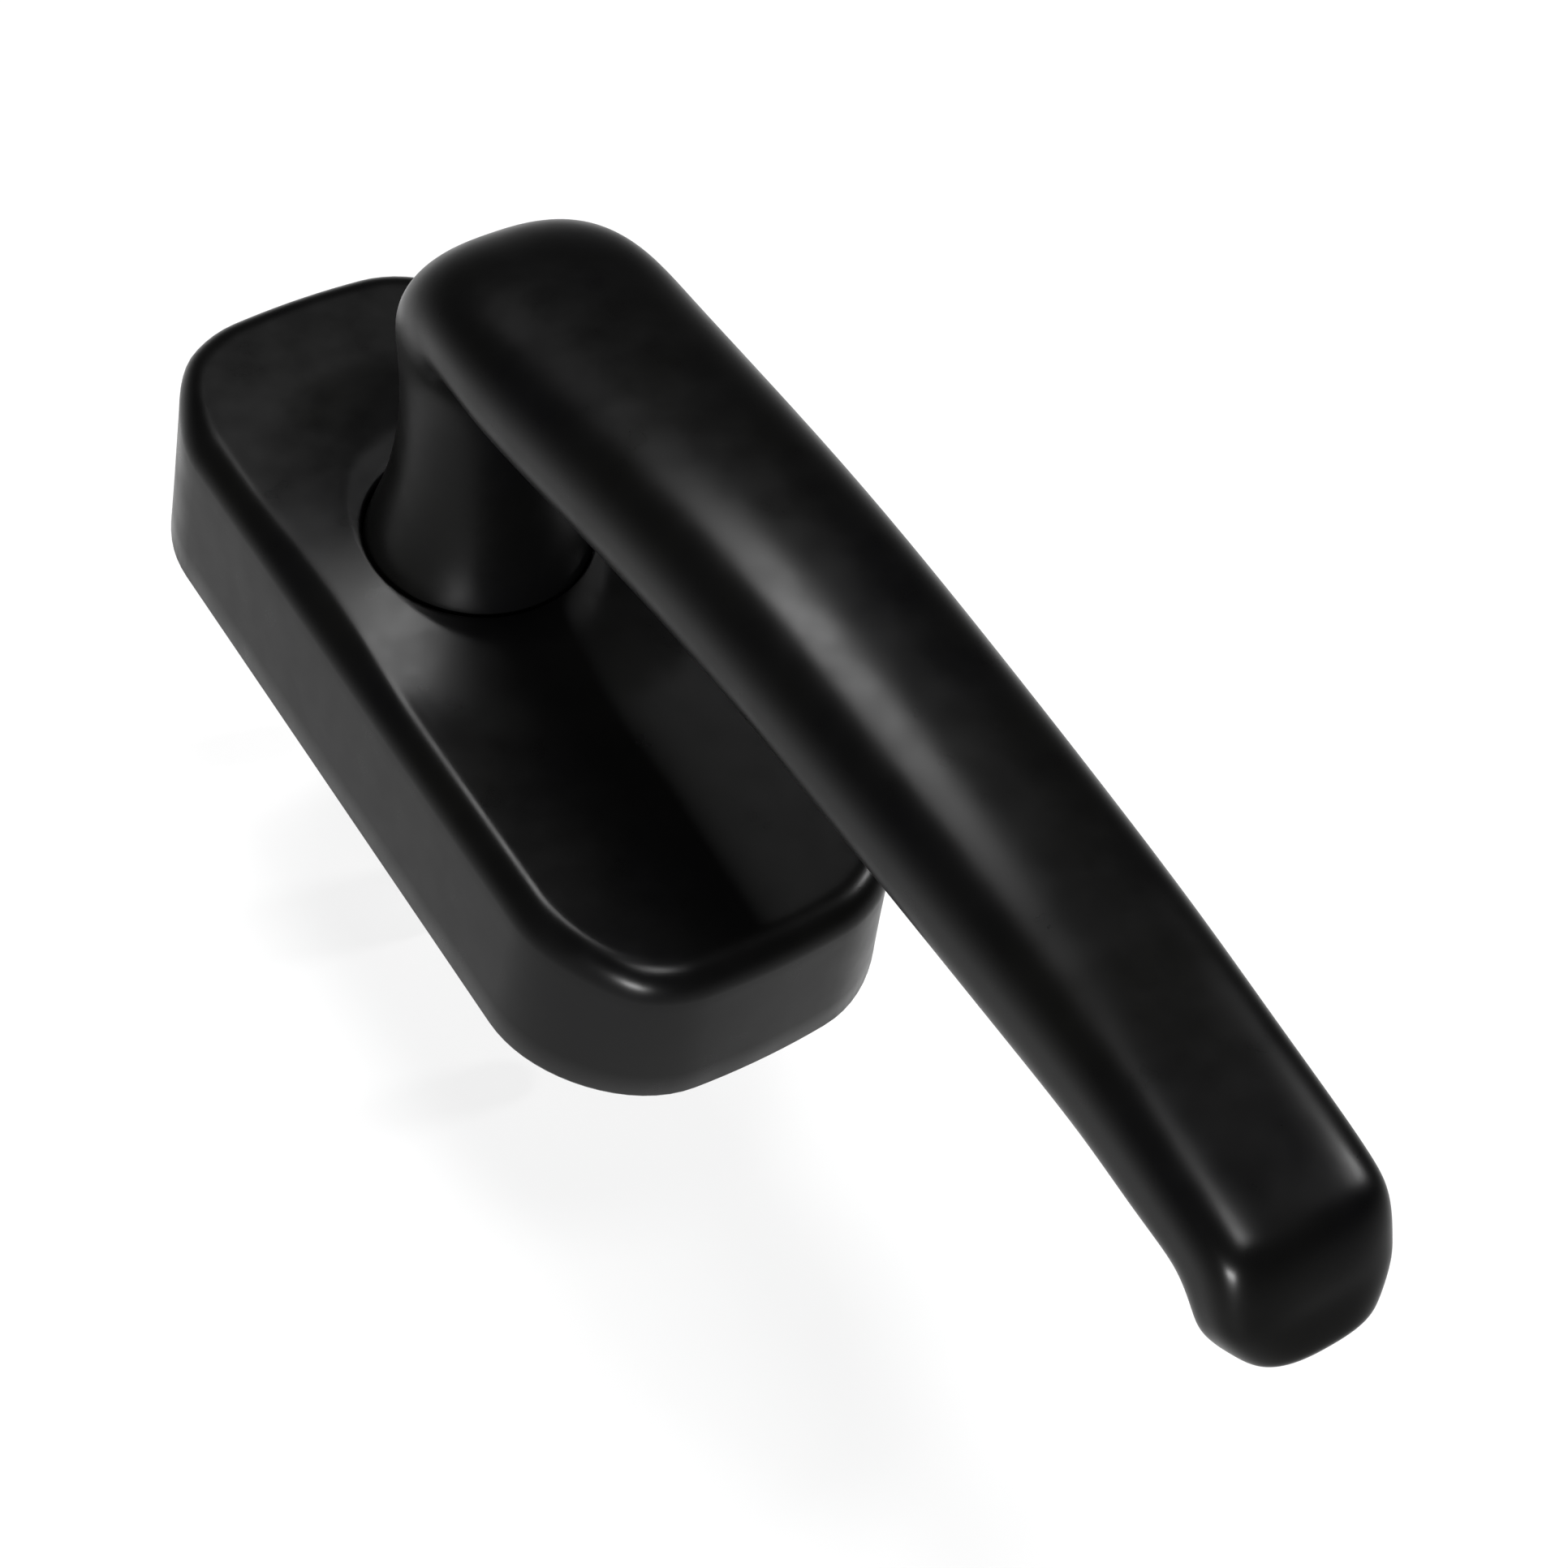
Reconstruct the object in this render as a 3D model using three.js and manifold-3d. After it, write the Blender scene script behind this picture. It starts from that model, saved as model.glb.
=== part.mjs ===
// Tilt turn handle for a window sash: a lever on a rosette that turns a square spindle.
// Millimetres. The origin is where the spindle's axis meets the sash. +Z points out of the
// sash along the spindle, and the closed lever points along -Y.

import * as THREE from 'three';
import { mergeVertices } from 'three/addons/utils/BufferGeometryUtils.js';
import Module from 'manifold-3d';

const wasm = await Module();
wasm.setup();

// ---------------------------------------------------------------- driving dimensions

const RUN_GAP = 0.2; // radial clearance of turning fits
const GAP = 0.3; // clearance between pieces that lie on each other

// rosette
const COVER_HALF_WIDTH = 17;
const COVER_HALF_LENGTH = 38.8;
const COVER_CENTRE_Y = -7; // the spindle sits above the middle of the rosette
const COVER_CORNER = 11;
const COVER_END_BOW = 2.1; // how far the short ends bulge
const COVER_HEIGHT = 15.2;
const COVER_EDGE = 2.6; // rounding of the top edge
const COVER_CROWN = 0.5;
const COVER_WALL = 1.6;
const COLLAR_HEIGHT = 16.3; // top of the raised collar round the neck foot
const COLLAR_REACH = 14.6; // radius where the collar's hollow flank runs out
const COVER_HOLE = 9.6;

// fixings in the sash
const SCREW_SPACING = 43;
const NOSE_RADIUS = 5;
const NOSE_LENGTH = 6;
const SCREW_THREAD = 2.4;
const SCREW_LENGTH = 40;
const SCREW_HEAD = 4.6;
const HEAD_CONE = 2.2;

// base plate and bearing
const PLATE_INSET = COVER_WALL + 0.5;
const PLATE_HEIGHT = 11.4;
const RECESS_RADIUS = 12.9;
const RECESS_DEPTH = 4.8;
const JOURNAL_RADIUS = 6.6;
const JOURNAL_END = 0.4;
const BUSH_RADIUS = 8;
const FLANGE_RADIUS = 9.1;
const FLANGE = [PLATE_HEIGHT + 0.2, PLATE_HEIGHT + 0.8];
const THRUST = [PLATE_HEIGHT + 1, PLATE_HEIGHT + 1.5];
const FOOT_BOTTOM = PLATE_HEIGHT + 1.7;

// square drive
const SPINDLE_SIDE = 7;
const SPINDLE_BEHIND = 32; // length behind the sash face
const SPINDLE_TOP = 25;
const SPINDLE_CHAMFER = 0.7;
const DRIVE_ACROSS = 10.4; // across the flats of the journal's squared end
const PIN_RADIUS = 1.25;
const PIN_HALF_LENGTH = 6.2;
const PIN_HEIGHT = 8.5;

// detent
const DISC = [2.5, 4.5];
const DISC_RADIUS = 12.5;
const BALL_CIRCLE = 10.6;
const BALL_RADIUS = 1.75;
const BALL_LIFT = 0.25; // clearance between a pressed-back ball and the disc
const POCKET_RADIUS = 1.95;
const POCKET_TOP = 10.7;
const DIMPLE_RADIUS = 2.1;
const DIMPLE_DEPTH = 0.9;
const SPRING_RADIUS = 1.25;
const SPRING_WIRE = 0.2;
const SPRING_TURNS = 3.5;

// lever: sections from the neck foot over the elbow to the tip. Each one runs from a point on the upper
// profile (the back of the neck, the top of the grip, the front of the tip) to one on the lower profile:
// [upper forward, upper height, lower forward, lower height, half width, upper and lower squareness].
const LEVER_STATIONS = [
  [-9.2, FOOT_BOTTOM, 9.2, FOOT_BOTTOM, 9.2, 2, 2],
  [-9.2, 15.4, 9.2, 15.4, 9.2, 2, 2],
  [-8.1, 19.5, 8.1, 19.5, 8.1, 2, 2],
  [-7.1, 24.5, 7.1, 24.5, 7.1, 2, 2],
  [-6.6, 30.5, 6.6, 30.5, 6.6, 2, 2],
  [-6.4, 37, 6.6, 36.6, 6.5, 2.1, 2.1],
  [-4.3, 43.1, 7.3, 39.6, 7.6, 2.5, 2.2],
  [-0.2, 48.2, 8.6, 40.6, 8, 2.7, 2.3],
  [5.6, 50.8, 11, 40.6, 9.1, 2.9, 2.3],
  [13, 52, 15.5, 40.5, 9.1, 2.8, 2.3],
  [33.2, 54.5, 34.2, 42.7, 8.4, 2.6, 2.4],
  [54.7, 54.8, 54.6, 43.7, 7.8, 2.7, 2.5],
  [73.9, 54, 73.1, 43.5, 7.1, 3.2, 2.6],
  [83.6, 52.8, 81.8, 43.4, 6.8, 3.6, 2.6],
  [90.2, 51.7, 86.6, 43.2, 6.8, 3.8, 2.6],
  [94.8, 50.8, 89.6, 43.1, 6.8, 3.8, 2.5],
  [96.1, 50.3, 90.8, 43, 6.8, 3.8, 2.5],
  [96.8, 49.5, 91.9, 42.7, 6.8, 3.7, 2.5],
  [98, 47.4, 92.9, 41.9, 6.8, 3.6, 2.5],
  [99.1, 45.3, 93.8, 40.7, 6.3, 3.4, 2.5],
  [100.1, 43.5, 95, 39.9, 5.2, 3, 2.5],
  [100.3, 42.6, 96.6, 40.2, 4.2, 2.6, 2.4],
  [99.9, 41.6, 98.4, 41.1, 2.6, 2.2, 2.2],
];
const LEVER_SECTIONS = 66;

// ---------------------------------------------------------------- solids

// Turns a closed three.js geometry into a solid that can be cut and joined.
function solid(geometry) {
  const bare = geometry.clone();
  bare.deleteAttribute('normal');
  bare.deleteAttribute('uv');
  const merged = mergeVertices(bare, 1e-5);
  const corners = merged.index.array;
  const triangles = [];
  for (let i = 0; i < corners.length; i += 3) {
    const [a, b, c] = [corners[i], corners[i + 1], corners[i + 2]];
    if (a !== b && b !== c && c !== a) triangles.push(a, b, c);
  }
  return new wasm.Manifold(new wasm.Mesh({
    numProp: 3,
    vertProperties: Float32Array.from(merged.attributes.position.array),
    triVerts: Uint32Array.from(triangles),
  }));
}

function geometryOf(body) {
  const mesh = body.getMesh();
  const geometry = new THREE.BufferGeometry();
  geometry.setAttribute('position', new THREE.BufferAttribute(mesh.vertProperties, 3));
  geometry.setIndex(new THREE.BufferAttribute(mesh.triVerts, 1));
  geometry.computeVertexNormals();
  return geometry;
}

const cut = (body, ...tools) => tools.reduce((left, tool) => left.subtract(tool), body);
const join = (body, ...others) => others.reduce((sum, other) => sum.add(other), body);

// A closed skin over rings with the same number of points, capped at both ends.
function loft(rings) {
  const count = rings[0].length;
  const positions = [];
  const index = [];
  for (const ring of rings) {
    for (const point of ring) positions.push(point.x, point.y, point.z);
  }
  for (let r = 0; r + 1 < rings.length; r += 1) {
    for (let i = 0; i < count; i += 1) {
      const a = r * count + i;
      const b = r * count + ((i + 1) % count);
      index.push(a, b, b + count, a, b + count, a + count);
    }
  }
  const caps = [[rings[0], 0, true], [rings.at(-1), (rings.length - 1) * count, false]];
  for (const [ring, start, flip] of caps) {
    const middle = ring.reduce((sum, point) => sum.add(point), new THREE.Vector3()).divideScalar(count);
    const centre = positions.length / 3;
    positions.push(middle.x, middle.y, middle.z);
    for (let i = 0; i < count; i += 1) {
      const a = start + i;
      const b = start + ((i + 1) % count);
      index.push(...(flip ? [b, a, centre] : [a, b, centre]));
    }
  }
  const geometry = new THREE.BufferGeometry();
  geometry.setAttribute('position', new THREE.Float32BufferAttribute(positions, 3));
  geometry.setIndex(index);
  return solid(geometry);
}

function prism(shape, bottom, top, curveSegments = 12) {
  const options = { depth: top - bottom, bevelEnabled: false, curveSegments };
  return solid(new THREE.ExtrudeGeometry(shape, options).translate(0, 0, bottom));
}

function cylinder(radius, bottom, top, x = 0, y = 0, segments = 40) {
  const geometry = new THREE.CylinderGeometry(radius, radius, top - bottom, segments);
  return solid(geometry.rotateX(Math.PI / 2).translate(x, y, (bottom + top) / 2));
}

// Turns a closed list of [radius, height] corners round the Z axis.
function revolve(corners, segments = 40, x = 0, y = 0) {
  const profile = corners.map(([radius, height]) => new THREE.Vector2(radius, height));
  const last = corners.at(-1);
  if (corners[0][0] > 0 || last[0] > 0) profile.push(profile[0].clone());
  return solid(new THREE.LatheGeometry(profile, segments).rotateX(Math.PI / 2).translate(x, y, 0));
}

const tube = (inner, outer, bottom, top, segments = 40) => revolve(
  [[inner, bottom], [outer, bottom], [outer, top], [inner, top]],
  segments,
);

function box(sizeX, sizeY, bottom, top, x = 0, y = 0) {
  const geometry = new THREE.BoxGeometry(sizeX, sizeY, top - bottom);
  return solid(geometry.translate(x, y, (bottom + top) / 2));
}

// ---------------------------------------------------------------- outlines

// Rounded rectangle with slightly bowed short ends, drawn in by inset, at one height.
function rosetteRing(inset, height, pointsPerCorner = 9) {
  const halfWidth = COVER_HALF_WIDTH - inset;
  const halfLength = COVER_HALF_LENGTH - COVER_END_BOW - inset;
  const corner = Math.max(COVER_CORNER - inset, 1);
  const ring = [];
  for (let quarter = 0; quarter < 4; quarter += 1) {
    const sideX = quarter === 0 || quarter === 3 ? 1 : -1;
    const sideY = quarter < 2 ? 1 : -1;
    for (let i = 0; i < pointsPerCorner; i += 1) {
      const angle = (quarter + i / (pointsPerCorner - 1)) * (Math.PI / 2);
      const x = sideX * (halfWidth - corner) + corner * Math.cos(angle);
      const y = sideY * (halfLength - corner) + corner * Math.sin(angle);
      ring.push([x, y]);
    }
    if (quarter % 2 === 0) {
      const edge = halfWidth - corner;
      for (const share of [0.5, 0, -0.5]) ring.push([sideX * share * edge, sideY * halfLength]);
    }
  }
  return ring.map(([x, y]) => {
    const across = x / halfWidth;
    const reach = Math.max(Math.abs(y) - (halfLength - corner), 0) / corner;
    const bow = COVER_END_BOW * (1 - across * across) * reach;
    return new THREE.Vector3(x, COVER_CENTRE_Y + y + Math.sign(y) * bow, height);
  });
}

// A square with its corners cut back to a circle, as turned stock milled on four sides.
function squaredRound(across, radius, bottom, top) {
  return cylinder(radius, bottom, top).intersect(box(across, across, bottom - 1, top + 1));
}

// ---------------------------------------------------------------- rosette

function roundedBlock(inset, bottom, top, edge, crown) {
  const rings = [rosetteRing(inset, bottom), rosetteRing(inset, top - edge)];
  const steps = 5;
  for (let i = 1; i <= steps; i += 1) {
    const angle = (i / steps) * (Math.PI / 2);
    rings.push(rosetteRing(inset + edge * (1 - Math.cos(angle)), top - edge + edge * Math.sin(angle)));
  }
  for (const share of [0.35, 0.7]) {
    const flat = COVER_HALF_WIDTH - inset - edge;
    rings.push(rosetteRing(inset + edge + share * flat, top + crown * (1 - (1 - share) ** 2)));
  }
  return loft(rings);
}

function makeCover() {
  const shell = roundedBlock(0, 0, COVER_HEIGHT, COVER_EDGE, COVER_CROWN);
  const rim = COVER_HOLE + 0.9;
  const flank = [];
  const steps = 7;
  for (let i = 0; i <= steps; i += 1) {
    const share = i / steps;
    const rise = COLLAR_HEIGHT - COVER_HEIGHT + 0.4;
    flank.push([COLLAR_REACH - share * (COLLAR_REACH - rim), COVER_HEIGHT - 0.4 + rise * share ** 2.4]);
  }
  const collar = revolve([[0, COVER_HEIGHT - 2], [COLLAR_REACH, COVER_HEIGHT - 2], ...flank,
    [0, COLLAR_HEIGHT]], 48);
  const hollow = roundedBlock(COVER_WALL, -1, COVER_HEIGHT - COVER_WALL, 1.4, 0);
  return cut(
    join(shell, collar),
    hollow,
    cylinder(COVER_HOLE, 5, COLLAR_HEIGHT + 5, 0, 0, 48),
  );
}

const makeCoverRing = () => revolve([
  [COVER_HOLE, COVER_HEIGHT - 3.1],
  [COVER_HOLE + 0.9, COVER_HEIGHT - 3.1],
  [COVER_HOLE + 1.9, COVER_HEIGHT - 2.5],
  [COVER_HOLE + 1.9, COVER_HEIGHT - 1.9],
  [COVER_HOLE, COVER_HEIGHT - 1.9],
]);

// ---------------------------------------------------------------- base plate and its fittings

const screwPlaces = { top: SCREW_SPACING / 2, bottom: -SCREW_SPACING / 2 };
const ballPlaces = { top: Math.PI / 2, left: Math.PI, bottom: -Math.PI / 2, right: 0 };
const clipPlaces = { left: -1, right: 1 };
const CLIP_Y = -31;
const CLIP_LENGTH = 10;
const CLIP_NOTCH = 1.1;
const CLIP_HEIGHTS = [3.2, 8.8];

function makeBasePlate() {
  const halfWidth = COVER_HALF_WIDTH - PLATE_INSET;
  const block = roundedBlock(PLATE_INSET, 0, PLATE_HEIGHT, 0.8, 0);
  const noses = Object.values(screwPlaces).map((y) => revolve(
    [[0, -NOSE_LENGTH], [NOSE_RADIUS - 0.6, -NOSE_LENGTH], [NOSE_RADIUS, -NOSE_LENGTH + 0.6],
      [NOSE_RADIUS, 1], [0, 1]],
    36, 0, y,
  ));
  const countersinks = Object.values(screwPlaces).map((y) => revolve(
    [[0, -NOSE_LENGTH - 1], [SCREW_THREAD + GAP, -NOSE_LENGTH - 1],
      [SCREW_THREAD + GAP, PLATE_HEIGHT - HEAD_CONE - 0.5], [SCREW_HEAD + GAP, PLATE_HEIGHT - 0.5],
      [SCREW_HEAD + GAP, PLATE_HEIGHT + 1], [0, PLATE_HEIGHT + 1]],
    36, 0, y,
  ));
  const pockets = Object.values(ballPlaces).map((angle) => cylinder(
    POCKET_RADIUS, RECESS_DEPTH - 1, POCKET_TOP,
    BALL_CIRCLE * Math.cos(angle), BALL_CIRCLE * Math.sin(angle), 20,
  ));
  const notches = Object.values(clipPlaces).map((side) => box(
    2 * CLIP_NOTCH, CLIP_LENGTH + 1, CLIP_HEIGHTS[0] - GAP, CLIP_HEIGHTS[1] + GAP,
    side * halfWidth, CLIP_Y,
  ));
  const coring = [-1, 1].map((side) => box(7, 7.5, 2.5, PLATE_HEIGHT + 1, side * 4.4, -36));
  return cut(
    join(block, ...noses),
    ...countersinks, ...pockets, ...notches, ...coring,
    cylinder(RECESS_RADIUS, -1, RECESS_DEPTH),
    cylinder(BUSH_RADIUS + 0.15, 0, PLATE_HEIGHT + 1),
  );
}

const makeBush = () => revolve([
  [JOURNAL_RADIUS + RUN_GAP, RECESS_DEPTH + 0.2],
  [BUSH_RADIUS, RECESS_DEPTH + 0.2],
  [BUSH_RADIUS, FLANGE[0]],
  [FLANGE_RADIUS, FLANGE[0]],
  [FLANGE_RADIUS, FLANGE[1]],
  [JOURNAL_RADIUS + RUN_GAP, FLANGE[1]],
]);

function makeScrew(y) {
  const top = PLATE_HEIGHT - 0.3;
  const tip = top - SCREW_LENGTH;
  const body = revolve([[0, tip], [SCREW_THREAD - 0.8, tip], [SCREW_THREAD, tip + 1.2],
    [SCREW_THREAD, top - HEAD_CONE - 0.3], [SCREW_HEAD, top - 0.3], [SCREW_HEAD, top], [0, top]], 32, 0, y);
  return cut(body, box(4.6, 0.9, top - 1.9, top + 1, 0, y), box(0.9, 4.6, top - 1.9, top + 1, 0, y));
}

// A bowed leaf of spring steel, standing a little proud of the plate's side.
function makeClip(side) {
  const thickness = 0.45;
  const flank = side * (COVER_HALF_WIDTH - PLATE_INSET - CLIP_NOTCH + 0.25);
  const bow = 0.75;
  const leaf = (offset) => {
    const points = [];
    for (let i = 0; i <= 12; i += 1) {
      const share = i / 6 - 1;
      points.push([flank + side * (offset + bow * Math.cos(share * Math.PI / 2) ** 2),
        CLIP_Y + (share * CLIP_LENGTH) / 2]);
    }
    return points;
  };
  const outline = [...leaf(0), ...leaf(thickness).reverse()];
  const shape = new THREE.Shape(outline.map(([x, y]) => new THREE.Vector2(x, y)));
  return prism(shape, ...CLIP_HEIGHTS);
}

// ---------------------------------------------------------------- detent

function makeDetentDisc() {
  const dimpleHeight = DISC[1] - DIMPLE_DEPTH + DIMPLE_RADIUS;
  const dimples = Object.values(ballPlaces).map((angle) => solid(
    new THREE.SphereGeometry(DIMPLE_RADIUS, 16, 10).translate(
      BALL_CIRCLE * Math.cos(angle), BALL_CIRCLE * Math.sin(angle), dimpleHeight,
    ),
  ));
  const blank = revolve([[0, DISC[0]], [DISC_RADIUS - 0.3, DISC[0]], [DISC_RADIUS, DISC[0] + 0.3],
    [DISC_RADIUS, DISC[1] - 0.3], [DISC_RADIUS - 0.3, DISC[1]], [0, DISC[1]]], 48);
  const hole = squaredRound(DRIVE_ACROSS + 0.3, JOURNAL_RADIUS + 0.15, 0, PLATE_HEIGHT);
  return cut(blank, hole, ...dimples);
}

const ballHeight = DISC[1] + BALL_LIFT + BALL_RADIUS;

const makeBall = (angle) => solid(new THREE.SphereGeometry(BALL_RADIUS, 14, 9).translate(
  BALL_CIRCLE * Math.cos(angle), BALL_CIRCLE * Math.sin(angle), ballHeight,
));

class Helix extends THREE.Curve {
  constructor(radius, bottom, top, turns) {
    super();
    Object.assign(this, { radius, bottom, top, turns });
  }

  getPoint(t, target = new THREE.Vector3()) {
    const angle = 2 * Math.PI * this.turns * t;
    const height = this.bottom + (this.top - this.bottom) * t;
    return target.set(this.radius * Math.cos(angle), this.radius * Math.sin(angle), height);
  }
}

function makeSpring(angle) {
  const bottom = ballHeight + BALL_RADIUS + SPRING_WIRE + 0.05;
  const path = new Helix(SPRING_RADIUS, bottom, POCKET_TOP - SPRING_WIRE - 0.05, SPRING_TURNS);
  const wire = new THREE.Shape().absarc(0, 0, SPRING_WIRE, 0, 2 * Math.PI);
  const options = { steps: Math.round(SPRING_TURNS * 10), extrudePath: path, curveSegments: 3 };
  return solid(new THREE.ExtrudeGeometry(wire, options).translate(
    BALL_CIRCLE * Math.cos(angle), BALL_CIRCLE * Math.sin(angle), 0,
  ));
}

// ---------------------------------------------------------------- lever, spindle and retainers

// Closed section between a point on the upper and a point on the lower profile of the lever.
function leverRing(upper, lower, halfWidth, upperSquareness, lowerSquareness, count = 28) {
  const middle = upper.clone().lerp(lower, 0.5);
  const half = upper.clone().sub(middle);
  const bulge = (value, squareness) => Math.sign(value) * Math.abs(value) ** (2 / squareness);
  const ring = [];
  for (let i = 0; i < count; i += 1) {
    const angle = (2 * Math.PI * i) / count;
    const squareness = i <= count / 2 ? upperSquareness : lowerSquareness;
    const across = halfWidth * bulge(Math.cos(angle), squareness);
    const point = middle.clone().addScaledVector(half, bulge(Math.sin(angle), squareness));
    ring.push(new THREE.Vector3(across, -point.x, point.y));
  }
  return ring;
}

function makeGrip() {
  const curve = (pick) => new THREE.CatmullRomCurve3(
    LEVER_STATIONS.map((station) => new THREE.Vector3(...pick(station))),
  );
  const upper = curve((s) => [s[0], s[1], 0]);
  const lower = curve((s) => [s[2], s[3], 0]);
  const size = curve((s) => [s[4], s[5], s[6]]);
  const rings = [];
  for (let i = 0; i <= LEVER_SECTIONS; i += 1) {
    const t = i / LEVER_SECTIONS;
    const { x: width, y: above, z: below } = size.getPoint(t);
    rings.push(leverRing(upper.getPoint(t), lower.getPoint(t), width, above, below));
  }
  return loft(rings);
}

function makeLever() {
  const journal = cylinder(JOURNAL_RADIUS, RECESS_DEPTH - 0.2, FOOT_BOTTOM + 1);
  const drive = squaredRound(DRIVE_ACROSS, JOURNAL_RADIUS, JOURNAL_END, RECESS_DEPTH);
  const side = SPINDLE_SIDE + 2 * RUN_GAP;
  return cut(
    join(makeGrip(), journal, drive),
    box(side, side, -1, SPINDLE_TOP + GAP),
    crossPin(PIN_RADIUS + RUN_GAP, JOURNAL_RADIUS + 1),
  );
}

// A round bar through the axis along X, at the height of the spindle pin.
function crossPin(radius, halfLength) {
  const geometry = new THREE.CylinderGeometry(radius, radius, 2 * halfLength, 20);
  return solid(geometry.rotateZ(Math.PI / 2).translate(0, 0, PIN_HEIGHT));
}

function makeSpindle() {
  const square = (side, z) => {
    const h = side / 2;
    const c = 0.5;
    return [[h, -h + c], [h, h - c], [h - c, h], [-h + c, h], [-h, h - c], [-h, -h + c], [-h + c, -h],
      [h - c, -h]].map(([x, y]) => new THREE.Vector3(x, y, z));
  };
  const small = SPINDLE_SIDE - 2 * SPINDLE_CHAMFER;
  const bar = loft([
    square(small, -SPINDLE_BEHIND), square(SPINDLE_SIDE, -SPINDLE_BEHIND + SPINDLE_CHAMFER),
    square(SPINDLE_SIDE, SPINDLE_TOP - SPINDLE_CHAMFER), square(small, SPINDLE_TOP),
  ]);
  return cut(bar, crossPin(PIN_RADIUS + RUN_GAP, SPINDLE_SIDE));
}

// Slotted spring pin: rolled strip with an open seam.
function makeSpindlePin() {
  const inner = PIN_RADIUS - 0.4;
  const open = 0.25;
  const shape = new THREE.Shape();
  shape.absarc(0, 0, PIN_RADIUS, open, 2 * Math.PI - open, false);
  shape.absarc(0, 0, inner, 2 * Math.PI - open * 1.4, open * 1.4, true);
  const options = { depth: 2 * PIN_HALF_LENGTH, bevelEnabled: false, curveSegments: 16 };
  const geometry = new THREE.ExtrudeGeometry(shape, options);
  return solid(geometry.rotateY(Math.PI / 2).translate(-PIN_HALF_LENGTH, 0, PIN_HEIGHT));
}

const makeThrustWasher = () => tube(JOURNAL_RADIUS + RUN_GAP, FLANGE_RADIUS, ...THRUST);

const makeRetainer = () => cut(
  revolve([[0, 0.5], [9.3, 0.5], [9.5, 0.7], [9.5, 1.1], [0, 1.1]]),
  squaredRound(DRIVE_ACROSS + 0.2, JOURNAL_RADIUS + 0.1, 0, 2),
);

// Thin washer with three waves.
function makeWaveWasher() {
  const thickness = 0.3;
  const middle = (1.1 + DISC[0]) / 2;
  const amplitude = 0.28;
  const geometry = new THREE.LatheGeometry([
    [JOURNAL_RADIUS + 0.5, 0], [9.6, 0], [9.6, thickness], [JOURNAL_RADIUS + 0.5, thickness],
    [JOURNAL_RADIUS + 0.5, 0],
  ].map(([r, z]) => new THREE.Vector2(r, z)), 54).rotateX(Math.PI / 2);
  const position = geometry.attributes.position;
  for (let i = 0; i < position.count; i += 1) {
    const angle = Math.atan2(position.getY(i), position.getX(i));
    const wave = amplitude * Math.cos(3 * angle);
    position.setZ(i, position.getZ(i) + middle - thickness / 2 + wave);
  }
  return solid(geometry);
}

// ---------------------------------------------------------------- assembly

const BLACK_COAT = { color: 0x0b0b0c, roughness: 0.36, metalness: 0 };
const BLACK_PLASTIC = { color: 0x141415, roughness: 0.55, metalness: 0 };
const WHITE_PLASTIC = { color: 0xd9d7cf, roughness: 0.5, metalness: 0 };
const ZINC = { color: 0x9a9c9d, roughness: 0.45, metalness: 0.9 };
const STEEL = { color: 0xb9bcc0, roughness: 0.3, metalness: 1 };
const SPRING_STEEL = { color: 0x8d9095, roughness: 0.28, metalness: 1 };

const group = new THREE.Group();

function place(name, body, finish) {
  const mesh = new THREE.Mesh(geometryOf(body), new THREE.MeshStandardMaterial(finish));
  mesh.name = name;
  group.add(mesh);
}

place('lever', makeLever(), BLACK_COAT);
place('spindle', makeSpindle(), STEEL);
place('spindle_pin', makeSpindlePin(), SPRING_STEEL);
place('detent_disc', makeDetentDisc(), STEEL);
place('wave_washer', makeWaveWasher(), SPRING_STEEL);
place('retaining_washer', makeRetainer(), STEEL);
place('cover', makeCover(), BLACK_COAT);
place('cover_ring', makeCoverRing(), BLACK_PLASTIC);
place('base_plate', makeBasePlate(), ZINC);
place('guide_bush', makeBush(), WHITE_PLASTIC);
place('thrust_washer', makeThrustWasher(), BLACK_PLASTIC);
for (const [side, y] of Object.entries(screwPlaces)) place(`screw_${side}`, makeScrew(y), STEEL);
for (const [side, sign] of Object.entries(clipPlaces)) {
  place(`cover_clip_${side}`, makeClip(sign), SPRING_STEEL);
}
for (const [side, angle] of Object.entries(ballPlaces)) {
  place(`detent_ball_${side}`, makeBall(angle), STEEL);
  place(`detent_spring_${side}`, makeSpring(angle), SPRING_STEEL);
}

export default group;
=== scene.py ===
"""Tilt turn handle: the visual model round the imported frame, with camera, light and floor."""

import math

import bmesh
import bpy
import numpy as np
from mathutils import Matrix, Vector


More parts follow.
